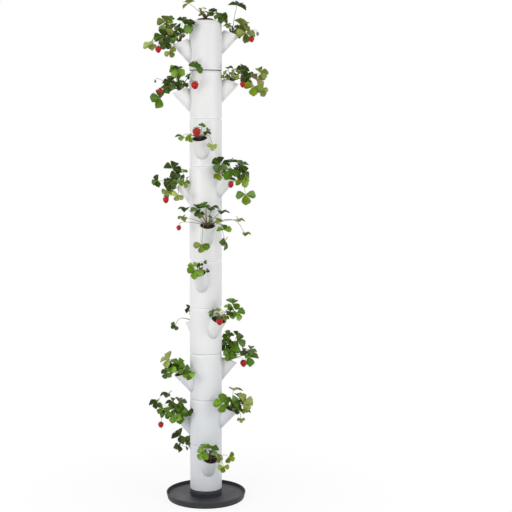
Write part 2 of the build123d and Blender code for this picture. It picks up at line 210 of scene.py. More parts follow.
# Each leaf: offset of its middle from the crown (right, back, up), length of a leaflet, the direction
# its face looks to (degrees to the right of the front, degrees up), the heading of its middle leaflet
# seen from the front, and its tint, or the tints of its three leaflets. Each fruit: offset of its
# centre, its width and its ripeness. Nine leaves tilt further back than in the CAD model, two are larger.
PLANTS = {
    "01_high": ([
        (-23, -12, 55, 30, -10, 45, 110, "b"), (-29, -24, 36, 34, -20, 35, 230, "b"),
        (7, -14, 48, 32, 20, 50, 30, "m"), (34, -24, 15, 22, 15, 55, 0, "o"),
        (80, -6, 14, 28, 10, 20, 330, "y"), (56, -29, -22, 26, 0, 10, 270, "y")], []),
    "01_low": ([
        (-92, -26, 96, 44, -10, 55, 200, "d"), (-57, -26, 69, 28, 0, 40, 20, "o"),
        (-104, -26, 53, 36, 70, 10, 255, "d"), (30, 48, 36, 36, 180, 45, 0, "m"),
        (-10, 52, 28, 30, 195, 45, 180, "m")], []),
    "02_high": ([
        (-31, -75, 44, 43, 0, 10, 175, "b"), (9, -30, 38, 34, 15, 30, 60, "m"),
        (57, -10, 33, 46, 5, 30, 20, "p"), (13, 5, 91, 42, 0, 98, 0, "o"),
        (29, -34, 8, 24, 10, 40, 270, "d"), (44, -14, 0, 46, 20, 92, 325, "o"),
        (46, -44, -32, 18, 0, 40, 270, "o"), (40, 42, 40, 38, 150, 40, 20, "m"),
        (25, 50, 12, 32, 160, 30, 320, "d")], []),
    "02_low": ([
        (-59, -10, 99, 36, -10, 93, 180, "d"), (-105, -25, 62, 38, -10, 62, 185, "d"),
        (-80, -45, 44, 32, 0, 30, 240, "m"), (-12, -35, 66, 36, 10, 60, 20, "d"),
        (-12, -70, 26, 46, 0, 28, 10, "m"), (-32, -76, 20, 36, -10, 25, 260, "b"),
        (31, -87, 41, 24, 10, 30, 280, "d"), (-69, -60, 22, 26, 0, 35, 220, "d"),
        (-40, 42, 50, 38, 200, 40, 160, "m"), (-15, 52, 24, 34, 190, 30, 250, "d")],
        [(-89, -50, -31, 24, "r")]),
    "03_high": ([
        (-3, 74, 98, 28, 0, 30, 100, "m"), (33, 41, 103, 28, 20, 40, 20, "d"),
        (3, 63, 88, 30, -10, 35, 190, "m"), (35, 21, 86, 42, 15, 40, 330, "m"),
        (-16, 31, 65, 32, -5, 15, 230, "d"), (12, -31, 52, 38, 0, 35, 280, "m"),
        (-1, -81, 44, 30, -15, 30, 250, "m"), (94, -1, 48, 30, 10, 65, 0, "d"),
        (89, -16, 18, 42, 5, 45, 0, "m"), (60, 44, 36, 36, 140, 40, 0, "m")], [(63, -31, -7, 29, "r")]),
    "03_low": ([
        (-56, -4, 63, 42, -15, 40, 180, "p"), (-47, -19, 36, 34, -10, 28, 230, "b"),
        (-17, -29, 48, 32, 0, 45, 60, "m"), (9, -49, 28, 30, 10, 40, 300, "m"),
        (-66, -29, 8, 28, -15, 20, 240, "d"), (29, -71, 12, 28, 5, 10, 285, "b"),
        (-50, 42, 35, 36, 220, 40, 170, "m"), (-18, 46, 20, 32, 200, 35, 150, "d")], []),
    "04_high": ([
        (59, -29, 75, 34, 10, 40, 60, "m"), (52, -32, 42, 22, -10, 25, 200, "d"),
        (77, -12, 36, 36, 10, 18, 290, "b"), (-23, -29, 38, 24, -15, 50, 150, "d"),
        (24, -12, 18, 24, 10, 60, 0, "o"), (66, 41, 35, 34, 100, 40, 20, "m")], [(4, -57, 3, 28, "r")]),
    "04_low": ([
        (-20, -38, 58, 28, 70, 10, 90, "d"), (-79, -30, -10, 22, 0, 15, 215, "d"),
        (35, 50, 45, 34, 175, 40, 40, "m"), (20, 55, 20, 32, 180, 35, 270, "m"),
        (47, 48, 61, 32, 170, 50, 60, "d")], []),
    "05_high": ([
        (-12, -57, 19, 36, 0, 15, 250, "b"), (-22, -45, 32, 26, -10, 20, 140, "b"),
        (6, -12, 36, 16, -10, 40, 120, "d"), (23, -7, 50, 16, 0, 70, 60, "d"),
        (36, -30, 18, 12, 20, 40, 340, "d")], []),
    "05_low": ([
        (-50, 25, 55, 36, 190, 40, 150, "m"), (5, 30, 62, 36, 170, 40, 60, "b"),
        (-10, 60, 30, 38, 180, 30, 270, "m"), (-66, 35, 12, 34, 200, 25, 200, "d"),
        (12, 48, 10, 30, 165, 25, 300, "o"), (-25, 20, 82, 30, 180, 50, 90, "d")], []),
    "06_high": ([
        (-11, -11, 86, 24, 0, 45, 90, "m"), (-40, -15, 74, 32, -10, 40, 110, "d"),
        (-32, -28, 56, 24, -10, 45, 200, "d"), (-90, 5, 76, 34, -10, 87, 185, "d"),
        (15, -11, 80, 34, 10, 84, 10, "d"), (58, -1, 64, 36, 10, 82, 350, "d"),
        (-97, -8, 38, 28, -20, 68, 220, "o"), (40, -43, 28, 22, 10, 60, 0, "o"),
        (128, -8, 30, 32, 10, 80, 10, "o"), (69, -33, -12, 32, 5, 30, 90, "b"),
        (155, 2, -28, 28, 10, 82, 0, "o"), (72, -43, -54, 42, 75, 5, 265, "m"),
        (-23, -51, -71, 36, 0, 10, 265, "pob")], [(-120, 12, -9, 20, "r")]),
    "06_low": ([
        (42, 25, 52, 36, 170, 40, 30, "m"), (-22, 32, 60, 34, 190, 40, 120, "d"),
        (4, 58, 26, 42, 180, 30, 265, "m"), (35, 42, 24, 32, 170, 25, 330, "o"),
        (-30, 50, 8, 32, 195, 25, 220, "b")], [(24, 66, -32, 26, "r")]),
    "07_high": ([
        (-36, -59, 60, 36, -5, 25, 150, "d"), (8, -29, 66, 34, 0, 50, 90, "d"),
        (52, -4, 55, 40, 20, 45, 20, "d"), (4, -54, 35, 44, 5, 30, 250, "m"),
        (-38, -64, 18, 28, -15, 35, 200, "y"), (62, -14, 20, 38, 25, 28, 350, "d"),
        (59, -34, -9, 34, 15, 18, 300, "y"), (73, -24, -68, 44, 0, 8, 270, "mym"),
        (50, 40, 40, 34, 120, 40, 30, "m")], [(11, -61, -27, 25, "r")]),
    "07_low": ([
        (-46, -36, 74, 40, -5, 25, 80, "d"), (2, -36, 61, 18, 0, 40, 90, "o"),
        (-109, -21, 22, 30, -10, 25, 190, "d"), (-56, -61, 8, 30, 0, 12, 250, "d"),
        (8, -91, 17, 24, 5, 22, 280, "y"), (-18, -146, -32, 28, -5, 12, 240, "p"),
        (-66, -56, -22, 28, -5, 10, 260, "o"), (-30, 42, 45, 38, 200, 40, 150, "m"),
        (-55, 30, 14, 34, 210, 25, 210, "d")], [(-72, -78, -58, 27, "r")]),
    "08_high": ([
        (-40, 30, 50, 34, 190, 45, 150, "m"), (8, 30, 58, 34, 165, 40, 60, "m"),
        (-4, 56, 30, 40, 180, 30, 275, "b"), (-58, 36, 14, 32, 200, 25, 200, "o"),
        (15, 50, 14, 32, 160, 25, 300, "d")], [(-22, 60, -20, 25, "r")]),
    "08_low": ([
        (-37, -33, 8, 26, -20, 35, 200, "y"), (-70, -13, 12, 32, -10, 78, 170, "b"),
        (28, -28, 32, 22, 10, 40, 330, "d"), (9, -3, 54, 16, 0, 35, 80, "m"),
        (53, -48, -24, 24, 15, 10, 270, "p")], [(-12, -40, 28, 34, "r")]),
    "09_high": ([
        (47, -5, 55, 32, 0, 45, 80, "d"), (126, 5, 41, 36, 10, 40, 20, "o"),
        (109, -15, 11, 36, 0, 20, 40, "n"), (97, -30, -17, 42, 0, 12, 260, "y"),
        (128, -10, -32, 30, -15, 10, 10, "p"), (-8, -44, 23, 20, -20, 55, 170, "o"),
        (-14, -52, 60, 24, -10, 80, 30, "d"), (45, 40, 35, 38, 160, 40, 20, "m"),
        (70, 34, 8, 34, 140, 30, 320, "d")], [(49, -50, -12, 24, "r")]),
    "09_low": ([
        (-2, -20, 99, 36, 0, 82, 180, "d"), (-10, -25, 89, 38, -10, 25, 250, "b"),
        (68, -80, 94, 34, 10, 35, 60, "m"), (-24, -30, 33, 34, 0, 25, 260, "d"),
        (-17, -15, 56, 26, 0, 40, 120, "d"), (15, -54, 26, 24, 10, 50, 330, "d"),
        (-82, -5, -32, 44, 10, 18, 175, "m"), (-45, 40, 40, 36, 200, 40, 160, "m"),
        (-62, 34, 10, 32, 215, 30, 220, "d")],
        [(65, -88, 19, 30, "r"), (-82, -20, -2, 22, "r"), (-104, 5, 39, 10, "n")]),
    "10_high": ([
        (26, -18, 119, 42, 10, 62, 75, "d"), (48, -18, 38, 40, 20, 30, 50, "o"),
        (63, -28, 5, 42, 5, 8, 270, "o"), (-8, -56, 34, 24, -15, 55, 160, "m"),
        (40, 40, 45, 38, 160, 45, 40, "m"), (20, 48, 14, 32, 170, 30, 300, "d")],
        [(87, -48, -24, 24, "r"), (113, -20, 0, 13, "g")]),
    "10_low": ([
        (-61, 14, 88, 40, -10, 30, 100, "o"), (-57, -28, 51, 34, 5, 25, 60, "o"),
        (22, -58, 68, 46, 0, 35, 20, "mdb"), (-70, 8, 26, 42, -10, 15, 180, "m"),
        (-43, -27, 19, 34, 10, 35, 300, "d"), (-114, 3, -7, 44, -20, 50, 190, "p"),
        (-58, -36, -6, 30, -5, 15, 230, "d"), (-40, -58, -40, 28, 0, 10, 300, "o"),
        (-35, 44, 60, 38, 200, 45, 150, "m"), (-60, 42, 25, 34, 215, 30, 200, "d")],
        [(-87, -62, -34, 27, "r")]),
    "10_top": ([
        (-69, -10, 61, 32, -10, 50, 120, "o"), (-13, 0, 14, 18, 0, 20, 90, "n"),
        (60, -15, 10, 36, 15, 50, 20, "d")], []),
}

# Small leaves that only the scene has, written as the leaves above
SMALL_LEAVES = {
    "09_high": [(-22, -46, 40, 15, -10, 40, 150, "p"), (2, -50, 32, 15, 5, 35, 40, "p"),
                (20, -52, 22, 16, 10, 30, 300, "y"), (32, -50, 40, 15, 0, 45, 80, "o"),
                (-30, -40, 24, 13, -20, 40, 200, "y"), (14, -48, 48, 14, 0, 50, 120, "p")],
    "10_low": [(2, -48, 58, 26, 0, 35, 200, "d"), (34, -62, 56, 24, 5, 35, 320, "m"),
               (12, -60, 84, 26, 0, 40, 60, "d"), (40, -66, 74, 24, 10, 40, 20, "d")],
    "10_top": [(34, -26, 24, 24, 0, 45, 150, "d"), (48, -30, 12, 22, 10, 35, 330, "m"),
               (74, -12, -4, 24, 15, 40, 300, "o"), (30, -8, 34, 22, 5, 60, 60, "d")],
}

# The one open flower: its plant, the offset of its middle and its width
FLOWER = ("04_high", (15, -25, 38), 22.0)

# Derived tower sizes
top_z = tier_pitch + seat_rise
lip = Vector((lip_reach, 0, tier_pitch - lip_drop))
mouth_run = Vector((-cos(radians(mouth_tilt)), 0, sin(radians(mouth_tilt))))
mouth_normal = Vector((sin(radians(mouth_tilt)), 0, cos(radians(mouth_tilt))))
mouth_length = (lip_reach - tube_radius - back_gap) / cos(radians(mouth_tilt))
mouth_back = lip + mouth_run * mouth_length
mouth_middle = lip + mouth_run * (mouth_length / 2)
cone_lean = radians((under_slope + back_slope) / 2)
cone_half = radians((back_slope - under_slope) / 2)
cone_dir = Vector((cos(cone_lean), 0, sin(cone_lean)))
under_rate = tan(radians(under_slope))
back_rate = tan(radians(back_slope))
apex_x = (lip.z - mouth_back.z + back_rate * mouth_back.x - under_rate * lip.x) / (back_rate - under_rate)
cone_apex = Vector((apex_x, 0, lip.z - (lip.x - apex_x) * under_rate))
soil_middle = mouth_middle - mouth_normal * soil_drop
soil_apex = cone_apex + cone_dir * ((wall + soil_gap) / sin(cone_half))
SIDE = Vector((0, 1, 0))
UP = Vector((0, 0, 1))


def put_in(name, data):
    """A new object in the scene."""
    thing = bpy.data.objects.new(name, data)
    scene.collection.objects.link(thing)
    return thing


class Piece:
    """Points, faces, leaf coordinates and tints of one piece while it is being made."""

    def __init__(self):
        self.points, self.faces, self.coords, self.tints = [], [], [], []

    def point(self, place, tint, coord=(0.0, 0.0)):
        self.points.append(place)
        self.tints.append(tint)
        self.coords.append(coord)
        return len(self.points) - 1

    def strip(self, first, second, closed=False):
        """Quads between two rows of point numbers."""
        last = len(first) if closed else len(first) - 1
        for i in range(last):
            j = (i + 1) % len(first)
            self.faces.append((first[i], first[j], second[j], second[i]))

    def wrap(self, rings, flip=False):
        """Closed strips from each ring of point numbers to the next."""
        for pair in zip(rings, rings[1:]):
            self.strip(*(pair[::-1] if flip else pair), closed=True)

    def sheet(self, rows, half):
        """A thin closed sheet from rows of (place, upper tint, lower tint, coord), half to each side."""
        upper = []
        lower = []
        for row in rows:
            pairs = [(self.point(place + half, over, coord), self.point(place - half, under, coord))
                     for place, over, under, coord in row]
            upper.append([pair[0] for pair in pairs])
            lower.append([pair[1] for pair in pairs])
        for first, second in zip(upper, upper[1:]):
            self.strip(second, first)
        for first, second in zip(lower, lower[1:]):
            self.strip(first, second)
        self.strip([row[0] for row in upper], [row[0] for row in lower])
        self.strip([row[-1] for row in lower], [row[-1] for row in upper])
        self.strip(lower[0], upper[0])
        self.strip(upper[-1], lower[-1])

    def fan(self, tip, ring, flip=False):
        """Triangles from a tip to a closed ring of point numbers."""
        for i, corner in enumerate(ring):
            after = ring[(i + 1) % len(ring)]
            self.faces.append((tip, after, corner) if flip else (tip, corner, after))

    def make(self, name, material, body, slot, *nodes):
        """Make the object, riding on its body in place of the given nodes."""
        mesh = bpy.data.meshes.new(name)
        mesh.from_pydata([p * MM for p in self.points], [], self.faces)
        uv = mesh.uv_layers.new(name="leaf_uv")
        colour = mesh.color_attributes.new("tint", "FLOAT_COLOR", "POINT")
        for loop in mesh.loops:
            uv.data[loop.index].uv = self.coords[loop.vertex_index]
        for i, tint in enumerate(self.tints):
            colour.data[i].color = (*tint, 1.0)
        mesh.polygons.foreach_set("use_smooth", [True] * len(mesh.polygons))
        mesh.materials.append(material)
        mesh.update()
        thing = put_in(name, mesh)
        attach(thing, body)
        if nodes:
            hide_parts(*nodes)


def blend(a, b, share):
    """Colour between two colours."""
    return tuple(x + (y - x) * share for x, y in zip(a, b))


def shade(colour, factor):
    """Colour made lighter or darker."""
    return tuple(min(1.0, x * factor) for x in colour)


def steps(table, at):
    """Value on the straight lines between the listed (position, value) pairs."""
    for (p, v), (q, w) in zip(table, table[1:]):
        if at <= q:
            return v + (w - v) * ((at - p) / (q - p))
    return table[-1][1]


def direction(azimuth, elevation):
    """Unit vector from degrees to the right of the front and degrees up."""
    level = cos(radians(elevation))
    turn = radians(azimuth)
    return Vector((sin(turn) * level, -cos(turn) * level, sin(radians(elevation))))


def spoke(side, other, turn):
    """Direction at an angle between two directions at right angles."""
    return side * cos(turn) + other * sin(turn)


def tier_place(number, low=False):
    """Matrix from a pocket's own frame, mouth towards +X, to the tower."""
    turn = tier_turns[number - 1] - 90 + (180 if low else 0)
    height = seam_z + (number - 1) * tier_pitch - (pocket_stagger if low else 0)
    return Matrix.Translation((0, 0, height)) @ Matrix.Rotation(radians(turn), 4, "Z")


def plant_seat(name):
    """Crown point and soil direction of a plant."""
    number, place = name.split("_")
    if place == "top":
        return Vector((0, 0, seam_z + (int(number) - 1) * tier_pitch + top_z + mound_rise)), UP.copy()
    spin = tier_place(int(number), place == "low")
    return spin @ soil_middle, spin.to_3x3() @ mouth_normal


LEAFLET_WIDTH = [(0.0, 0.05), (0.1, 0.19), (0.25, 0.35), (0.42, 0.44), (0.56, 0.45), (0.7, 0.39),
                 (0.84, 0.26), (0.94, 0.12), (1.0, 0.02)]


def leaflet(piece, base, along, normal, length, tint, rng):
    """One toothed leaflet, folded along its midrib and pleated between its veins."""
    across = normal.cross(along).normalized()
    last = 2 * (veins_large if length > large_leaf else veins_small)
    fold = rng.uniform(*fold_range)
    droop = rng.uniform(*droop_range)
    sway = rng.uniform(-sway_most, sway_most)
    breadth = rng.uniform(*breadth_range)
    painted_lit_half = rng.choice((-1, 1))
    wave = rng.uniform(0, 2 * pi)
    rows = []
    for number in range(last + 1):
        t = number / last
        half = steps(LEAFLET_WIDTH, t) * length * breadth
        tooth = min(1.0, max(0.0, (t - tooth_from) / tooth_run)) * (1 if number % 2 else -1)
        if number == last:
            tooth = 0.0
        row = []
        for c in leaflet_columns:
            rim = abs(c) == 1.0
            y = c * half * (1 + tooth_out * tooth * rim)
            x = t * length + abs(c) * rim_forward * length * sin(pi * min(t, rim_forward_end))
            x = min(x + rim * tooth_forward * length * tooth, length * (1.0 + tip_forward * (c == 0)))
            z = fold * abs(y) - droop * x * x / length - pleat * length * abs(c) * tooth
            z += ripple * length * abs(c) * sin(ripple_rate * t + wave + c)
            y += sway * x * x / length
            # Painted light: one half of each leaflet is painted lighter and the other darker, as if the fold
            # caught the light on one side; the leaflet also gets lighter towards its tip
            painted_light = 1.0 + painted_half_contrast * c * painted_lit_half + tip_contrast * (t - 0.5)
            fleck_and_painted_light = shade(tint, rng.uniform(*fleck_range) * painted_light)
            pale = blend(fleck_and_painted_light, UNDERSIDE, underside_share)
            row.append((base + along * x + across * y + normal * z, fleck_and_painted_light, pale, (number / 2, 0.5 + 0.5 * c)))
        rows.append(row)
    piece.sheet(rows, normal * (leaf_skin / 2))


def tube(piece, path, radii, tints, sides=6):
    """A closed tube along a path."""
    rings = []
    side = None
    for i, place in enumerate(path):
        before = path[max(i - 1, 0)]
        after = path[min(i + 1, len(path) - 1)]
        run = (after - before).normalized()
        if side is None:
            side = run.orthogonal().normalized()
        side = (side - run * side.dot(run)).normalized()
        other = run.cross(side)
        ring = []
        for k in range(sides):
            spot = place + spoke(side, other, 2 * pi * k / sides) * radii[i]
            ring.append(piece.point(spot, tints[i], (i / 2, k / sides)))
        rings.append(ring)
    piece.wrap(rings)
    piece.fan(piece.point(path[0], tints[0]), rings[0], flip=True)
    piece.fan(piece.point(path[-1], tints[-1]), rings[-1])


def curve(first, handle, last):
    """Points after the first on a curve that a handle pulls to its side."""
    shares = [k / stalk_steps for k in range(1, stalk_steps + 1)]
    return [first * (1 - t) ** 2 + handle * (2 * t * (1 - t)) + last * t ** 2 for t in shares]


def arched(start, end, arch):
    """Path of a stalk in one arch."""
    return [start] + curve(start, (start + end) / 2 + arch, end)


def hooked(start, corner, end):
    """Path of a stalk that runs straight to and from a rounded corner."""
    inner, outer = start.lerp(corner, corner_from), corner.lerp(end, corner_to)
    return [start, inner] + curve(inner, corner, outer) + [end]


def stalk_foot(seat, normal, right, back):
    """Point on a crown's rim where the stalk to an offset starts."""
    level = Vector((right, back, 0)).normalized()
    return seat + normal * (crown_height - stalk_sink) + level * (crown_radius * stalk_out)


def stalk(piece, path, thick, thin, colour, foot):
    """A tapering stalk, redder towards its foot."""
    last = len(path) - 1
    radii = [thick + (thin - thick) * min(1.0, taper_rate * i / last) for i in range(last + 1)]
    tints = [blend(foot, colour, min(1.0, redden_rate * i / last)) for i in range(last + 1)]
    tube(piece, path, radii, tints)


def leaf(leaves, stalks, seat, normal, spec, rng):
    """Three leaflets on a stalk from the crown."""
    right, back, up, length, azimuth, elevation, heading, tones = spec
    offset = Vector((right, back, up))
    hub = seat + offset
    face = direction(azimuth, elevation)
    aim = Vector((cos(radians(heading)), 0, sin(radians(heading))))
    aim = (aim - face * aim.dot(face)).normalized()
    side = face.cross(aim)
    start = stalk_foot(seat, normal, right, back)
    foot = blend(STALK_RED, SCALE, rng.random())
    colour = shade(blend(STALK, TINTS["y"], rng.uniform(0.0, 0.5)), rng.uniform(0.8, 1.15))
    arch = Vector((rng.uniform(-1, 1), rng.uniform(-1, 1), arch_lift)) * (arch_share * offset.length)
    path = arched(start, hub, arch)
    if up <= rising_leaf:
        rise = over_lift + over_slope * hypot(right, back)
        path = hooked(start, start + Vector((right * over_share, back * over_share, rise)), hub)
    stalk(stalks, path, stalk_base, stalk_tip, colour, foot)
    tones = tones * 3 if len(tones) == 1 else tones
    for angle, tone in zip((-leaflet_spread, 0, leaflet_spread), tones):
        along = spoke(aim, side, radians(angle + rng.uniform(-spread_jitter, spread_jitter)))
        tilt = radians(rng.uniform(*tilt_range))
        along = (along * cos(tilt) - face * sin(tilt)).normalized()
        upright = (face - along * face.dot(along)).normalized()
        roll = rng.uniform(-roll_jitter, roll_jitter) * (level_roll if elevation > level_leaf else 1.0)
        upright = spoke(upright, along.cross(upright), radians(roll))
        neck = hub + along * (neck_share * length)
        tube(stalks, [hub - along, neck], neck_radii, [colour, colour], sides=5)
        tint = shade(TINTS[tone], rng.uniform(*tint_range))
        # Painted sunlight: some leaflets are painted lighter and paler, as if in full sun
        if rng.random() < painted_sun_share:
            tint = blend(shade(tint, painted_sun_gain), SUNLIT, rng.uniform(*painted_sun_mix))
        leaflet(leaves, neck - along * neck_overlap, along, upright, leaflet_share * length, tint, rng)


def young_leaves(leaves, stalks, seat, normal, rng):
    """Small leaves that come up between the stalks of the grown ones."""
    front = degrees(atan2(normal.x, -normal.y)) if hypot(normal.x, normal.y) > 0.01 else 0.0
    count = young_count if normal.y > faces_front else young_front
    for k in range(count):
        turn = 2 * pi * (k + rng.random()) / count
        out = rng.uniform(*young_out)
        spec = (out * cos(turn), out * sin(turn), rng.uniform(*young_up), rng.uniform(*young_length),
                front + rng.uniform(-young_turn, young_turn), rng.uniform(*young_lift),
                rng.uniform(0, 360), rng.choice("bmdyp"))
        leaf(leaves, stalks, seat, normal, spec, rng)


def second_leaves(leaves, stalks, seat, normal, specs, rng):
    """Half-grown leaves under the large ones, clear of the tube and of open soil at the front."""
    for right, back, up, length, azimuth, elevation, _, tones in specs:
        share = rng.uniform(*second_reach)
        offset = Vector((right * share + rng.uniform(-second_jitter, second_jitter),
                         back * share + rng.uniform(-second_jitter, second_jitter),
                         max(second_lowest, up * share + rng.uniform(*second_rise))))
        small = length * rng.uniform(*second_size)
        hub = seat + offset
        if length < second_from or hypot(hub.x, hub.y) < tube_radius + small + second_clear:
            continue
        if elevation > level_leaf or (normal.y < faces_front and up < open_soil):
            continue
        spec = (*offset, small, azimuth + rng.uniform(-second_turn, second_turn),
                elevation * rng.uniform(*second_tilt), rng.uniform(0, 360), rng.choice(tones[0] + "dmb"))
        leaf(leaves, stalks, seat, normal, spec, rng)


SCALE_OUTLINE = [(0.0, 0.35), (0.3, 0.5), (0.6, 0.38), (0.85, 0.16), (1.0, 0.02)]


def scale_leaf(piece, base, along, normal, length, width, tint, curl):
    """A small pointed leaf such as a sepal or a dry scale."""
    across = normal.cross(along).normalized()
    rows = []
    for t, half in SCALE_OUTLINE:
        tone = shade(tint, 0.9 + 0.25 * t)
        row = []
        for c in (-1, 0, 1):
            z = curl * length * t * t + 0.12 * width * abs(c)
            place = base + along * (t * length) + across * (c * half * width) + normal * z
            row.append((place, tone, tone, (t * 4, 0.5 + c / 2)))
        rows.append(row)
    piece.sheet(rows, normal * (scale_skin / 2))


def crown(piece, seat, normal, rng):
    """The knobbly short stem between the soil and the leaf stalks, with its dry scales."""
    side = normal.orthogonal().normalized()
    other = normal.cross(side)
    sides = 14
    root = -0.25
    rings = []
    for level in (root, 0.1, 0.45, 0.75, 0.95):
        ring = []
        for k in range(sides):
            turn = 2 * pi * k / sides
            swell = 1 + 0.16 * sin(5 * turn + level * 3) + rng.uniform(-0.05, 0.05)
            radius = crown_radius * sqrt(max(0.05, 1 - max(level, 0) ** 2)) * swell
            place = seat + normal * (crown_height * level) + spoke(side, other, turn) * radius
            ring.append(piece.point(place, shade(CROWN, rng.uniform(0.7, 1.3)), (level, k / sides)))
        rings.append(ring)
    piece.wrap(rings)
    piece.fan(piece.point(seat + normal * crown_height, CROWN), rings[-1])
    piece.fan(piece.point(seat + normal * (root * crown_height), CROWN), rings[0], flip=True)
    lean = 0.75
    for k in range(scale_count):
        out = spoke(side, other, 2 * pi * (k + rng.random() * 0.6) / scale_count)
        along = (out * lean + normal).normalized()
        face = (normal - out * lean).normalized()
        base = seat + out * (crown_radius * 0.75) + normal * 1.5
        tint = shade(SCALE, rng.uniform(0.7, 1.3))
        scale_leaf(piece, base, along, face, rng.uniform(8, 13), 4.5, tint, -0.15)


BERRY_PROFILE = [(0.0, 0.0), (0.015, 0.2), (0.06, 0.35), (0.15, 0.455), (0.28, 0.5), (0.42, 0.49),
                 (0.56, 0.455), (0.7, 0.39), (0.83, 0.29), (0.93, 0.18), (0.985, 0.08), (1.0, 0.0)]


def berry_point(centre, width, depth, turn, lump):
    """Point on a berry's skin, and the direction out of it."""
    height = width * fruit_ratio
    uneven = 1 + 0.05 * sin(2 * turn + lump) + 0.03 * sin(3 * turn + 2 * lump)
    radius = steps(BERRY_PROFILE, depth) * width * uneven
    out = Vector((cos(turn), sin(turn), 0))
    near = 0.04
    wider = steps(BERRY_PROFILE, min(depth + near, 1)) - steps(BERRY_PROFILE, max(depth - near, 0))
    facing = (out + UP * (wider / (2 * near) / fruit_ratio)).normalized()
    return centre + out * radius + UP * ((0.5 - depth) * height), facing


def berry(piece, centre, width, ripeness, rng):
    """A strawberry with its seeds."""
    lump = rng.uniform(0, 6)
    sides = 22
    rings = []
    for depth in (0.012, 0.05, 0.11, 0.19, 0.28, 0.37, 0.46, 0.55, 0.64, 0.72, 0.8, 0.87, 0.93, 0.975):
        tint = blend(BERRY_NECK[ripeness], BERRY[ripeness], min(1.0, depth / 0.2))
        ring = []
        for k in range(sides):
            place, facing = berry_point(centre, width, depth, 2 * pi * k / sides, lump)
            place = place + facing * (0.012 * width * noise.noise(place * 0.35))
            # Painted light: the berry is painted lighter at its shoulder and darker towards its tip, as if
            # lit from above
            tone = rng.uniform(0.92, 1.06) * (painted_top_light - painted_tip_shade * depth)
            ring.append(piece.point(place, shade(tint, tone), (depth * 8, k / sides)))
        rings.append(ring)
    piece.wrap(rings, flip=True)
    height = width * fruit_ratio
    piece.fan(piece.point(centre + UP * (height / 2), BERRY_NECK[ripeness]), rings[0])
    piece.fan(piece.point(centre - UP * (height / 2), BERRY[ripeness]), rings[-1], flip=True)
    row_count = max(4, ceil(height / seed_pitch))
    for row in range(1, row_count):
        depth = 0.06 + 0.9 * row / row_count
        girth = 2 * pi * steps(BERRY_PROFILE, depth) * width
        count = max(3, round(girth / seed_pitch))
        for k in range(count):
            turn = 2 * pi * (k + 0.5 * (row % 2) + rng.uniform(-0.12, 0.12)) / count
            place, facing = berry_point(centre, width, depth, turn, lump)
            seed(piece, place, facing, seed_size * width, rng)


def seed(piece, place, facing, size, rng):
    """One seed, a small drop pressed into the berry's skin."""
    down = (-UP + facing * UP.dot(facing)).normalized()
    side = facing.cross(down)
    tint = shade(SEED, rng.uniform(0.75, 1.15))
    ring = [piece.point(place + d, tint) for d in
            (down * size, side * (0.6 * size), -down * (1.1 * size), -side * (0.6 * size))]
    piece.fan(piece.point(place + facing * (0.45 * size), tint), ring, flip=True)
    piece.fan(piece.point(place - facing * (0.6 * size), tint), ring)


def calyx(piece, top, width, rng):
    """The green cap of a berry."""
    sides = 12
    middle = (0.5, 0.3)
    disc = []
    for k in range(sides):
        turn = 2 * pi * k / sides
        spot = top + Vector((cos(turn), sin(turn), 0.02)) * (0.16 * width)
        disc.append(piece.point(spot, CALYX, middle))
    piece.fan(piece.point(top + UP * calyx_thickness, shade(CALYX, 1.2), middle), disc)
    piece.fan(piece.point(top, CALYX, middle), disc, flip=True)
    for k in range(sepal_count):
        turn = 2 * pi * (k + rng.uniform(-0.2, 0.2)) / sepal_count
        out = Vector((cos(turn), sin(turn), 0))
        along = (out + UP * rng.uniform(-0.1, 0.3)).normalized()
        face = (UP - along * UP.dot(along)).normalized()
        tint = shade(CALYX, rng.uniform(0.75, 1.2))
        scale_leaf(piece, top + out * (0.05 * width) + UP * 0.7, along, face,
                   rng.uniform(0.4, 0.5) * width, 0.16 * width, tint, rng.uniform(-0.25, 0.1))


def fruit(berries, caps, stalks, seat, normal, spec, rng):
    """A berry with its cap on an arching stalk."""
    right, back, up, width, ripeness = spec
    level = Vector((right, back, 0))
    top = seat + Vector((right, back, up + width * fruit_ratio / 2))
    bend = seat + level * (1 - stalk_hook / level.length)
    bend += UP * (max(top.z - seat.z, crown_height) + stalk_rise)
    path = hooked(stalk_foot(seat, normal, right, back), bend, top + UP * (0.75 * calyx_thickness))
    stalk(stalks, path, *fruit_stalk, shade(STALK, 1.1), STALK_RED)
    berry(berries, seat + Vector((right, back, up)), width, ripeness, rng)
    calyx(caps, top, width, rng)


PETAL_OUTLINE = [(0.15, 0.16), (0.4, 0.42), (0.7, 0.52), (0.9, 0.38), (1.0, 0.14)]


def flower(petals, stalks, seat, normal, offset, width, rng):
    """An open flower on its stalk."""
    middle = seat + Vector(offset)
    face = direction(-5, 30)
    side = face.orthogonal().normalized()
    other = face.cross(side)
    start = stalk_foot(seat, normal, offset[0], offset[1])
    stalk(stalks, arched(start, middle - face * 2, UP * 6), *flower_stalk, STALK, STALK_RED)
    reach = width / 2
    for k in range(petal_count):
        along = spoke(side, other, 2 * pi * k / petal_count + 0.3)
        across = face.cross(along)
        rows = []
        for t, half in PETAL_OUTLINE:
            row = []
            for c in (-1, -0.4, 0.4, 1):
                z = 0.18 * t * t * reach + 0.05 * width * abs(c) * t
                place = middle + along * (t * reach) + across * (c * half * reach) + face * z
                row.append((place, PETAL, shade(PETAL, 0.92), (0.0, 0.0)))
            rows.append(row)
        petals.sheet(rows, face * (petal_skin / 2))
    clod(petals, middle + face * 1.2, 0.15 * width, FLOWER_EYE, rng)


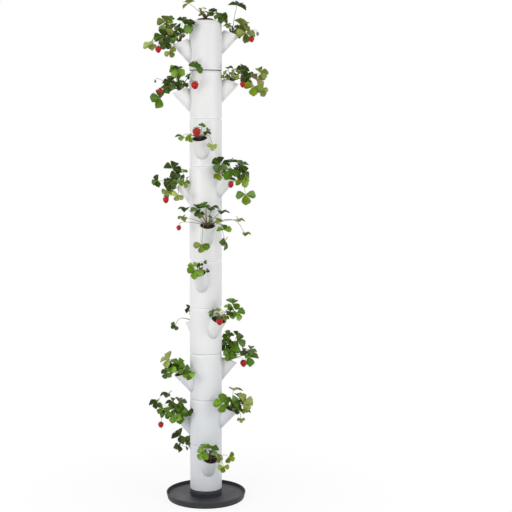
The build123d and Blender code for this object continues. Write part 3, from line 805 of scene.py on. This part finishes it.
GOLDEN = (1 + sqrt(5)) / 2
ICO_POINTS = [Vector(p).normalized() for p in (
    (-1, GOLDEN, 0), (1, GOLDEN, 0), (-1, -GOLDEN, 0), (1, -GOLDEN, 0), (0, -1, GOLDEN), (0, 1, GOLDEN),
    (0, -1, -GOLDEN), (0, 1, -GOLDEN), (GOLDEN, 0, -1), (GOLDEN, 0, 1), (-GOLDEN, 0, -1), (-GOLDEN, 0, 1))]
ICO_FACES = [(0, 11, 5), (0, 5, 1), (0, 1, 7), (0, 7, 10), (0, 10, 11), (1, 5, 9), (5, 11, 4), (11, 10, 2),
             (10, 7, 6), (7, 1, 8), (3, 9, 4), (3, 4, 2), (3, 2, 6), (3, 6, 8), (3, 8, 9), (4, 9, 5),
             (2, 4, 11), (6, 2, 10), (8, 6, 7), (9, 8, 1)]


def clod(piece, place, size, tint, rng):
    """An irregular lump."""
    stretch = Vector((rng.uniform(0.7, 1.3), rng.uniform(0.7, 1.3), rng.uniform(0.6, 1.0)))
    first = len(piece.points)
    for p in ICO_POINTS:
        spot = Vector((p.x * stretch.x, p.y * stretch.y, p.z * stretch.z)) * (size * rng.uniform(0.8, 1.15))
        piece.point(place + spot, shade(tint, rng.uniform(0.8, 1.2)))
    piece.faces += [tuple(first + i for i in face) for face in ICO_FACES]


SOIL = (0.014, 0.010, 0.007)
SOIL_LIGHT = (0.050, 0.034, 0.020)


def crust(piece, middle, run, across, normal, reach, rise, rng):
    """Crumbly top of a bed of soil: reach(turn) is its outline and rise(share) its height."""

    def spot(turn, share):
        return middle + spoke(run, across, turn) * (reach(turn) * share)

    turns = [2 * pi * k / crust_sides for k in range(crust_sides)]
    rings = []
    for share in (crust_edge, 0.85, 0.7, 0.55, 0.4, 0.25, 0.12):
        ring = []
        for turn in turns:
            place = spot(turn, share)
            lumps = noise.noise(place * 0.16) + 0.6 * noise.noise(place * 0.45)
            height = rise(share) + crust_rise * (0.45 + 0.45 * lumps) * min(1.0, (1.02 - share) * 6)
            tint = blend(SOIL, SOIL_LIGHT, rng.random() ** 2)
            ring.append(piece.point(place + normal * height, tint))
        rings.append(ring)
    piece.wrap(rings)
    piece.fan(piece.point(middle + normal * (rise(0) + crust_rise * 0.5), SOIL), rings[-1])
    below = normal * (rise(crust_edge) - crust_skirt)
    skirt = [piece.point(spot(turn, crust_edge) + below, SOIL) for turn in turns]
    piece.strip(skirt, rings[0], closed=True)
    piece.fan(piece.point(middle + below, SOIL), skirt, flip=True)
    for _ in range(clod_count):
        share = sqrt(rng.random()) * 0.88
        turn = rng.uniform(0, 2 * pi)
        size = rng.uniform(0.8, 2.3)
        tint = blend(SOIL, SOIL_LIGHT, rng.random())
        clod(piece, spot(turn, share) + normal * (rise(share) + crust_rise * 0.5), size, tint, rng)


def pocket_reach(turn):
    """Distance from the middle of a pocket's soil to its edge in one direction."""
    way = spoke(mouth_run, SIDE, turn)
    gap = soil_middle - soil_apex
    bound = cos(cone_half) ** 2
    a = way.dot(cone_dir) ** 2 - bound
    b = 2 * (way.dot(cone_dir) * gap.dot(cone_dir) - bound * way.dot(gap))
    c = gap.dot(cone_dir) ** 2 - bound * gap.dot(gap)
    root = sqrt(b * b - 4 * a * c)
    return min(r for r in ((-b + root) / (2 * a), (-b - root) / (2 * a)) if r > 0)


def soil_bed(number, material, rng):
    """The visible soil of one tier."""
    bed = Piece()
    for low in (False, True):
        spin = tier_place(number, low)
        turn = spin.to_3x3()
        crust(bed, spin @ soil_middle, turn @ mouth_run, turn @ SIDE, turn @ mouth_normal, pocket_reach,
              lambda share: 0.0, rng)
    if number == len(tier_turns):
        profile = [(0.0, mound_rise), (0.35, mound_rise), (0.7, 0.75 * mound_rise), (1.0, -1.0)]
        centre = Vector((0, 0, seam_z + (number - 1) * tier_pitch + top_z))
        crust(bed, centre, Vector((1, 0, 0)), SIDE, UP,
              lambda turn: opening_radius - soil_gap, lambda share: steps(profile, share), rng)
    bed.make(f"soil_bed_{number:02d}", material, f"tier_{number:02d}_body", "soil")


class Nodes:
    """Short way to write the nodes of a material or of the world."""

    def __init__(self, owner, shader="Principled BSDF", **settings):
        self.owner = owner
        owner.use_nodes = True
        self.tree = owner.node_tree
        self.shader = self.tree.nodes[shader]
        for key, value in settings.items():
            self.put(self.shader.inputs[key.replace("_", " ")], value)

    def put(self, socket, value):
        """Link a socket to an output, or give it a number, colour or vector."""
        if hasattr(value, "is_output"):
            self.tree.links.new(value, socket)
        else:
            socket.default_value = (*value, 1.0) if socket.type == "RGBA" else value

    def add(self, kind, settings=None, **inputs):
        node = self.tree.nodes.new("ShaderNode" + kind)
        for key, value in (settings or {}).items():
            setattr(node, key, value)
        for key, value in inputs.items():
            numbered = key[0] == "i" and key[1:].isdigit()
            self.put(node.inputs[int(key[1:]) if numbered else key], value)
        return node

    def place(self, scale=None):
        """Position in the object's frame, in metres, or stretched."""
        place = self.add("TexCoord").outputs["Object"]
        return self.add("Mapping", Vector=place, Scale=scale).outputs[0] if scale else place

    def tint(self):
        """The colour that the mesh carries."""
        return self.add("Attribute", {"attribute_name": "tint"}).outputs["Color"]

    def noise(self, place, scale, detail=3.0, rough=0.55):
        return self.add("TexNoise", Vector=place, Scale=scale, Detail=detail, Roughness=rough).outputs["Fac"]

    def math(self, kind, a, b=0.0):
        return self.add("Math", {"operation": kind}, i0=a, i1=b).outputs[0]

    def vector(self, kind, a, b=(0.0, 0.0, 0.0)):
        return self.add("VectorMath", {"operation": kind}, i0=a, i1=b).outputs

    def span(self, value, low, high, to_low=0.0, to_high=1.0):
        node = self.add("MapRange", {"clamp": True}, i0=value, i1=low, i2=high, i3=to_low, i4=to_high)
        return node.outputs[0]

    def even(self, value, to_low=0.0, to_high=1.0):
        """A noise stretched over the whole of a range."""
        return self.span(value, 0.3, 0.7, to_low, to_high)

    def mix(self, share, a, b, kind="MIX"):
        settings = {"data_type": "RGBA", "blend_type": kind, "clamp_result": True}
        return self.add("Mix", settings, i0=share, i6=a, i7=b).outputs[2]

    def finish(self, colour, roughness, height, strength, distance):
        """The material with its colour, roughness and bump."""
        bump = self.add("Bump", Height=height, Strength=strength, Distance=distance).outputs[0]
        for socket, value in (("Base Color", colour), ("Roughness", roughness), ("Normal", bump)):
            self.put(self.shader.inputs[socket], value)
        return self.owner

    def show_white(self, kind, output, share=1.0):
        """Show a share of plain white to the rays that see the background itself."""
        path = self.add("LightPath").outputs
        seen = self.math("MAXIMUM", path["Is Camera Ray"], path["Is Glossy Ray"])
        seen = self.math("MAXIMUM", seen, path["Is Transmission Ray"])
        white = self.add(kind, Color=(1.0, 1.0, 1.0), Strength=1.0).outputs[0]
        shown = self.math("MULTIPLY", seen, share)
        mixer = self.add("MixShader", i0=shown, i1=self.shader.outputs[0], i2=white)
        self.put(self.tree.nodes[output].inputs["Surface"], mixer.outputs[0])


def look(name, **settings):
    """A new material to write nodes in."""
    return Nodes(bpy.data.materials.new(name), **settings)


def tower_material():
    """White moulded plastic: mottled, with painted shade at the foot and beside the pockets, dust and painted
    highlights at the seams, and a painted shadow in one seam.
    """
    n = look("tower_white", Specular_IOR_Level=0.45)
    place = n.place()
    height = n.add("SeparateXYZ", Vector=place).outputs["Z"]
    above = n.math("SUBTRACT", height, seam_z * MM)
    level = n.math("FRACT", n.math("DIVIDE", above, tier_pitch * MM))
    cloud = n.noise(place, 9.0, 4.0)
    speck = n.noise(place, 160.0, 2.0)
    base = n.mix(n.even(cloud), (0.83, 0.83, 0.82), (0.86, 0.858, 0.845))
    # Painted shade: the tower is painted cooler and darker towards its foot
    painted_foot_shade = n.span(height, painted_shade_top * MM, painted_shade_full * MM, 0.0, painted_shade_share)
    base = n.mix(painted_foot_shade, base, (0.71, 0.74, 0.80))
    radius = n.vector("LENGTH", n.vector("MULTIPLY", place, (1.0, 1.0, 0.0))[0])["Value"]
    # Painted shade in the creases where the pockets meet the tube
    painted_crease_shade = n.math("MULTIPLY", n.span(radius, (tube_radius + 0.5) * MM, (tube_radius + 1.5) * MM),
                    n.span(radius, (tube_radius + 3) * MM, (tube_radius + painted_crease_width) * MM, 1.0, 0.0))
    base = n.mix(n.math("MULTIPLY", painted_crease_shade, painted_crease_share), base, (0.33, 0.35, 0.39))
    dust = n.math("MULTIPLY", n.span(level, 0.0, 0.06, 1.0, 0.0), n.span(speck, 0.3, 0.8))
    base = n.mix(n.math("MULTIPLY", dust, dust_share), base, (0.5, 0.47, 0.42))
    # Painted highlight: a pale band at each seam above the foot, where the rounded shoulders catch the light
    to_seam = n.math("PINGPONG", above, tier_pitch / 2 * MM)
    rim = n.math("MULTIPLY", n.span(to_seam, 0.5 * painted_highlight_half * MM, painted_highlight_half * MM, 1.0, 0.0),
                 n.span(height, painted_shade_top * MM, (painted_shade_top + tier_pitch) * MM))
    base = n.mix(rim, base, (0.97, 0.97, 0.97))
    # Painted shadow: a dark band along the seam under the top tier, as if the joint stood open
    from_seam = n.math("ABSOLUTE", n.math("SUBTRACT", height, (seam_z + shadowed_seam * tier_pitch) * MM))
    shadow = n.span(from_seam, 0.5 * seam_shadow_half * MM, seam_shadow_half * MM, seam_shadow_share, 0.0)
    base = n.mix(shadow, base, (0.10, 0.10, 0.11))
    return n.finish(base, n.even(cloud, 0.34, 0.46), n.noise(place, 900.0, 2.0), 0.06, 0.0004)


def tray_material():
    """Charcoal moulded plastic: grained, lighter where it faces up from dust and painted light, painted shade
    on the inner wall, and light scuffs.
    """
    n = look("tray_charcoal", Specular_IOR_Level=0.4)
    place = n.place()
    cloud = n.noise(place, 14.0, 4.0)
    base = n.mix(n.even(cloud), (0.024, 0.025, 0.030), (0.032, 0.033, 0.039))
    normal = n.add("NewGeometry").outputs["Normal"]
    facing_up = n.add("SeparateXYZ", Vector=normal).outputs["Z"]
    # Faces that point up are lighter: partly dust, partly painted light from above
    dust_and_top_light = n.mix(n.even(cloud), (0.034, 0.035, 0.041), (0.046, 0.047, 0.055))
    base = n.mix(n.span(facing_up, 0.35, 0.9), base, dust_and_top_light)
    # Painted shade: faces that look towards the middle, such as the inner wall, are painted almost black
    outward = n.vector("DOT_PRODUCT", place, normal)["Value"]
    base = n.mix(n.span(outward, -0.03, -0.1, 0.0, 0.95), base, (0.002, 0.002, 0.003))
    scuff = n.noise(n.place((40.0, 220.0, 90.0)), 1.0, 3.0, 0.7)
    base = n.mix(n.span(scuff, 0.62, 0.8, 0.0, 0.25), base, (0.2, 0.2, 0.2))
    return n.finish(base, n.even(cloud, 0.5, 0.66), n.noise(place, 700.0, 2.0), 0.25, 0.0005)


def leaf_material(name, roughness):
    """Leaf with a pale midrib, side veins to its teeth and mottled green between them."""
    n = look(name, Specular_IOR_Level=0.22, Specular_Tint=(0.75, 1.0, 0.25))
    tint = n.tint()
    spot = n.add("SeparateXYZ", Vector=n.add("UVMap", {"uv_map": "leaf_uv"}).outputs[0]).outputs
    off = n.math("ABSOLUTE", n.math("SUBTRACT", spot["Y"], 0.5))
    rib = n.span(off, 0.0, 0.05, 1.0, 0.0)
    wave = n.math("ABSOLUTE", n.math("SUBTRACT", n.math("FRACT", spot["X"]), 0.5))
    vein = n.math("MULTIPLY", n.span(wave, 0.0, 0.1, 1.0, 0.0), n.span(off, 0.5, 0.3, 0.2, 0.8))
    mask = n.math("MAXIMUM", rib, vein)
    patch = n.noise(n.place(), 120.0, 4.0, 0.6)
    mottle = n.mix(n.even(patch), (0.6, 0.66, 0.6), (1.1, 1.1, 1.1))
    green = n.mix(1.0, tint, mottle, "MULTIPLY")
    light = n.mix(0.45, tint, (0.42, 0.5, 0.2))
    base = n.mix(n.math("MULTIPLY", mask, 0.55), green, light)
    height = n.math("SUBTRACT", n.math("MULTIPLY", patch, 0.5), mask)
    return n.finish(base, n.even(patch, roughness, roughness + 0.14), height, 0.35, 0.0006)


def stalk_material():
    """Stalks and crowns, streaked along their length."""
    n = look("stalk_green", Specular_IOR_Level=0.3, Sheen_Weight=0.15)
    streak = n.noise(n.place((900.0, 900.0, 120.0)), 1.0, 3.0)
    base = n.mix(n.even(streak, 0.0, 0.55), n.tint(), (0.06, 0.04, 0.015))
    return n.finish(base, n.even(streak, 0.45, 0.65), streak, 0.3, 0.0004)


def berry_material():
    """Glossy berry skin, dimpled and mottled."""
    n = look("berry_red", Specular_IOR_Level=0.3, Specular_Tint=(1.0, 0.35, 0.3),
             Coat_Weight=0.16, Coat_Roughness=0.15)
    place = n.place()
    patch = n.noise(place, 140.0, 3.0)
    dimple = n.add("TexVoronoi", {"feature": "SMOOTH_F1"}, Vector=place, Scale=300.0).outputs["Distance"]
    base = n.mix(n.span(patch, 0.35, 0.75, 0.0, 0.2), n.tint(), (0.52, 0.012, 0.012))
    return n.finish(base, n.even(patch, 0.22, 0.34), dimple, 0.25, 0.0008)


def petal_material():
    """Petals and the flower's eye, faintly veined."""
    n = look("petal_cream", Specular_IOR_Level=0.25)
    vein = n.noise(n.place((500.0, 500.0, 200.0)), 1.0, 2.0)
    base = n.mix(n.span(vein, 0.45, 0.7, 0.0, 0.3), n.tint(), (0.6, 0.58, 0.38))
    return n.finish(base, n.even(vein, 0.55, 0.7), vein, 0.2, 0.0003)


def soil_material():
    """Damp potting soil with darker and lighter crumbs."""
    n = look("soil_dark", Specular_IOR_Level=0.2)
    place = n.place()
    crumb = n.add("TexVoronoi", Vector=place, Scale=420.0).outputs
    fine = n.noise(place, 500.0, 4.0, 0.65)
    flake = n.span(n.add("SeparateXYZ", Vector=crumb["Color"]).outputs["X"], 0.93, 0.97)
    base = n.mix(n.span(fine, 0.35, 0.7, 0.0, 0.6), n.tint(), (0.04, 0.027, 0.016))
    base = n.mix(n.math("MULTIPLY", flake, 0.6), base, (0.3, 0.24, 0.15))
    return n.finish(base, n.even(fine, 0.8, 0.96), n.math("ADD", fine, crumb["Distance"]), 0.6, 0.0012)


def core_material():
    """The soil inside the tiers, under the crust."""
    n = look("soil_core", Specular_IOR_Level=0.2)
    fine = n.noise(n.place(), 420.0, 4.0, 0.65)
    base = n.mix(n.even(fine), (0.012, 0.009, 0.006), (0.045, 0.030, 0.018))
    return n.finish(base, n.even(fine, 0.8, 0.96), fine, 0.6, 0.0015)


leaf_green = leaf_material("leaf_green", 0.44)
calyx_green = leaf_material("calyx_green", 0.55)
stalk_green = stalk_material()
berry_red = berry_material()
petal_cream = petal_material()
soil_dark = soil_material()

finishes = {"tier_": tower_material(), "soil_": core_material(), "base_tray": tray_material()}
for name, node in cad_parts.items():
    for start, finish in finishes.items():
        if name.startswith(start):
            node.data.materials.clear()
            node.data.materials.append(finish)

for number in range(1, len(tier_turns) + 1):
    soil_bed(number, soil_dark, random.Random(soil_seed + number))

for index, (name, (leaves, fruits)) in enumerate(PLANTS.items()):
    rng = random.Random(plant_seed + index)
    body = f"tier_{name[:2]}_body"
    seat, normal = plant_seat(name)
    foliage, stalks, berries, caps = Piece(), Piece(), Piece(), Piece()
    for spec in leaves + SMALL_LEAVES.get(name, []):
        leaf(foliage, stalks, seat, normal, spec, rng)
    young_leaves(foliage, stalks, seat, normal, rng)
    second_leaves(foliage, stalks, seat, normal, leaves, rng)
    crown(stalks, seat, normal, rng)
    for spec in fruits:
        fruit(berries, caps, stalks, seat, normal, spec, rng)
    if name == FLOWER[0]:
        petals = Piece()
        flower(petals, stalks, seat, normal, *FLOWER[1:], rng)
        petals.make(f"flower_{name}", petal_cream, body, "leaves")
    foliage.make(f"leaves_{name}", leaf_green, body, "leaves", f"plant_{name}")
    stalks.make(f"stalks_{name}", stalk_green, body, "leaves", f"plant_{name}")
    if fruits:
        berries.make(f"berries_{name}", berry_red, body, "fruit", f"fruit_{name}")
        caps.make(f"caps_{name}", calyx_green, body, "leaves", f"plant_{name}")

# Stage: a pale floor that the camera sees as white, with the soft shadow of the tower
floor_reach = 30.0
floor_drop = 0.0005
shadow_near = 0.2
shadow_far = 0.9
shadow_glow = 0.88
floor_mesh = bpy.data.meshes.new("floor")
floor_signs = ((-1, -1), (1, -1), (1, 1), (-1, 1))
floor_mesh.from_pydata([(x * floor_reach, y * floor_reach, 0) for x, y in floor_signs], [], [(0, 1, 2, 3)])
floor = put_in("floor", floor_mesh)
floor.location.z = -floor_drop

floor_look = look("floor_pale", Base_Color=(0.86, 0.86, 0.86), Roughness=0.9)
spread = floor_look.vector("LENGTH", floor_look.place())["Value"]
fade = floor_look.span(spread, shadow_near, shadow_far, shadow_glow, 1.0)
floor_look.show_white("Emission", "Material Output", fade)
floor_mesh.materials.append(floor_look.owner)

world = bpy.data.worlds.new("studio")
scene.world = world
studio = Nodes(world, "Background", Color=(0.97, 0.985, 1.0), Strength=0.56)
studio.show_white("Background", "World Output")


def soft_light(name, place, target, size, power):
    """A large lamp turned towards a point."""
    lamp = bpy.data.lights.new(name, "AREA")
    lamp.shape = "RECTANGLE"
    lamp.size, lamp.size_y = size
    lamp.energy = power
    thing = put_in(name, lamp)
    thing.location = place
    thing.rotation_euler = (Vector(target) - Vector(place)).to_track_quat("-Z", "Y").to_euler()


# Lamps: place, the point they face, width and height, and power
soft_light("key", (-0.9, -2.1, 2.6), (0.0, 0.0, 0.9), (1.0, 1.2), 8.5)
soft_light("left", (-1.4, -1.3, 1.25), (0.0, 0.0, 1.2), (0.8, 0.9), 11.0)
soft_light("right", (1.8, -1.2, 1.5), (0.0, 0.0, 1.3), (0.8, 0.9), 13.5)
soft_light("back", (-0.8, 2.6, 2.2), (0.0, 0.0, 1.2), (1.6, 2.0), 12.0)

camera = bpy.data.cameras.new("camera")
camera.lens = 80.8
camera.sensor_width = 36.0
eye = put_in("camera", camera)
eye.location = (0.088, -4.893, 1.593)
eye.rotation_euler = (radians(83.79), radians(-0.2), radians(-1.466))
scene.camera = eye
scene.view_settings.view_transform = "Standard"
